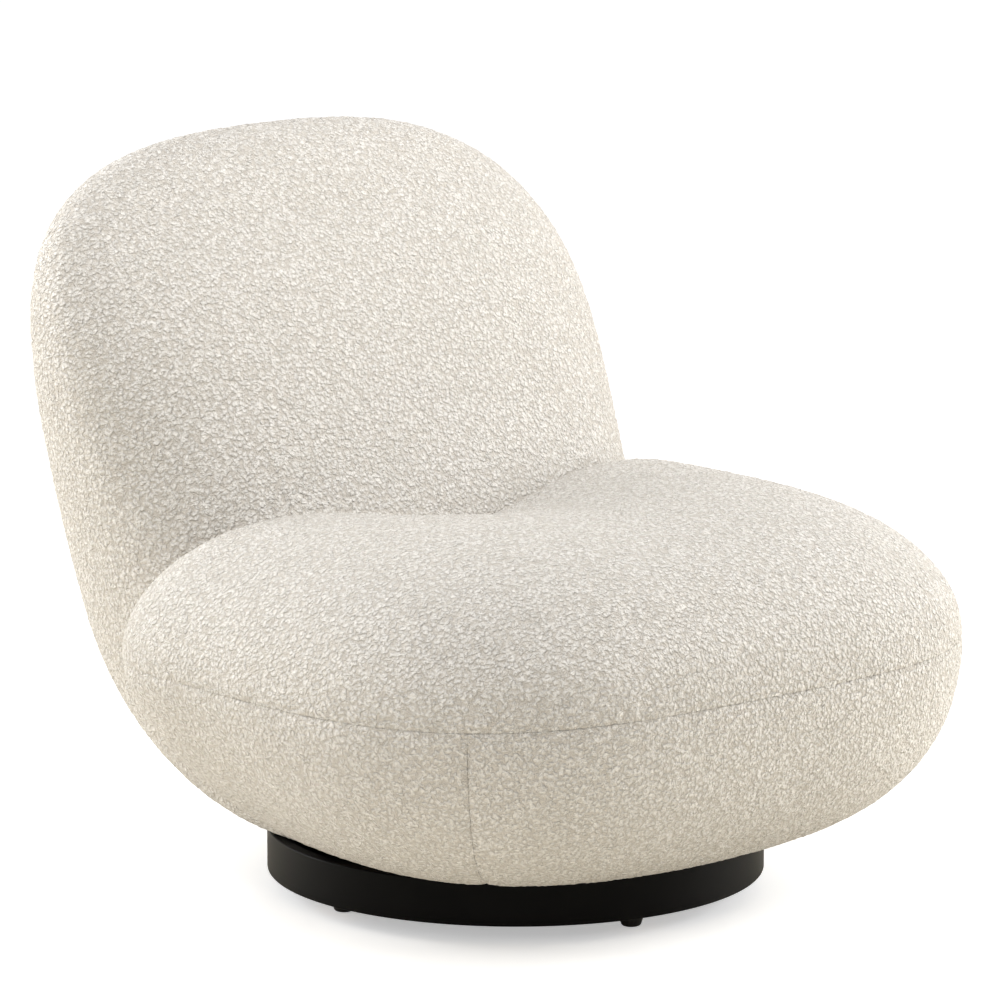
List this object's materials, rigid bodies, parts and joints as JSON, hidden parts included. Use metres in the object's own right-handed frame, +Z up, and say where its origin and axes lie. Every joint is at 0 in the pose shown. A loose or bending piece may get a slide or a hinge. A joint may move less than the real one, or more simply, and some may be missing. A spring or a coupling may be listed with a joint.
{
  "type": "upholstered armchair",
  "caption": "Armless upholstered swivel lounge chair: deep rounded seat and thick rounded back in looped fabric, on a low round black base with small tapered feet.",
  "frame": {"origin": "centre of the chair's outer box, on the floor under its feet", "axes": "+Z up, the chair faces -Y, its back is at +Y, +X is to the side"},
  "size_m": [0.803, 0.8335, 0.7252],
  "materials": {
    "boucle": "ivory looped yarn, matt",
    "foam": "open cell foam",
    "felt": "pressed fibre",
    "webbing": "woven elastic",
    "lining": "thin non-woven",
    "plywood": "raw",
    "softwood": "raw",
    "black_paint": "black satin paint on bent plywood",
    "foot_plastic": "gloss",
    "steel": "zinc plated",
    "brass": "pressed sheet"
  },
  "bodies": {
    "base": {"base_ring": "black_paint", "base_board": "plywood", "foot_block_1": "softwood", "foot_block_2": "softwood", "foot_block_3": "softwood", "foot_block_4": "softwood", "foot_1": "foot_plastic", "foot_2": "foot_plastic", "foot_3": "foot_plastic", "foot_4": "foot_plastic", "foot_screw_1": "steel", "foot_screw_2": "steel", "foot_screw_3": "steel", "foot_screw_4": "steel", "swivel_lower_plate": "steel", "lower_plate_bolt_1": "steel", "lower_plate_bolt_2": "steel", "lower_plate_bolt_3": "steel", "lower_plate_bolt_4": "steel", "swivel_hub": "steel", "hub_nut": "steel"},
    "cage": {"ball_cage": "brass", "ball_1": "steel", "ball_2": "steel", "ball_3": "steel", "ball_4": "steel", "ball_5": "steel", "ball_6": "steel", "ball_7": "steel", "ball_8": "steel"},
    "seat": {"swivel_upper_plate": "steel", "upper_plate_bolt_1": "steel", "upper_plate_bolt_2": "steel", "upper_plate_bolt_3": "steel", "upper_plate_bolt_4": "steel", "seat_board": "plywood", "dust_cover": "lining", "front_rail": "softwood", "rear_rail": "softwood", "left_rail": "softwood", "right_rail": "softwood", "left_post": "softwood", "right_post": "softwood", "top_rail": "softwood", "back_web_1": "webbing", "back_web_2": "webbing", "seat_spring_1": "steel", "seat_spring_2": "steel", "seat_spring_3": "steel", "seat_spring_4": "steel", "spring_pad": "felt", "seat_foam": "foam", "back_foam_front": "foam", "back_foam_rear": "foam", "seat_cover": "boucle", "front_band": "boucle", "left_band": "boucle", "right_band": "boucle", "back_cover_front": "boucle", "back_cover_rear": "boucle"}
  },
  "joints": [
    {"name": "seat_swivel", "type": "hinge", "parent": "base", "child": "seat", "pos_m": [0, -0.03375, 0.057], "axis": [0, 0, 1], "continuous": true},
    {"name": "cage_roll", "type": "hinge", "parent": "base", "child": "cage", "pos_m": [0, -0.03375, 0.057], "axis": [0, 0, 1], "continuous": true}
  ],
  "couplings": [
    {"joint": "cage_roll", "follows": "seat_swivel", "ratio": 0.5}
  ]
}
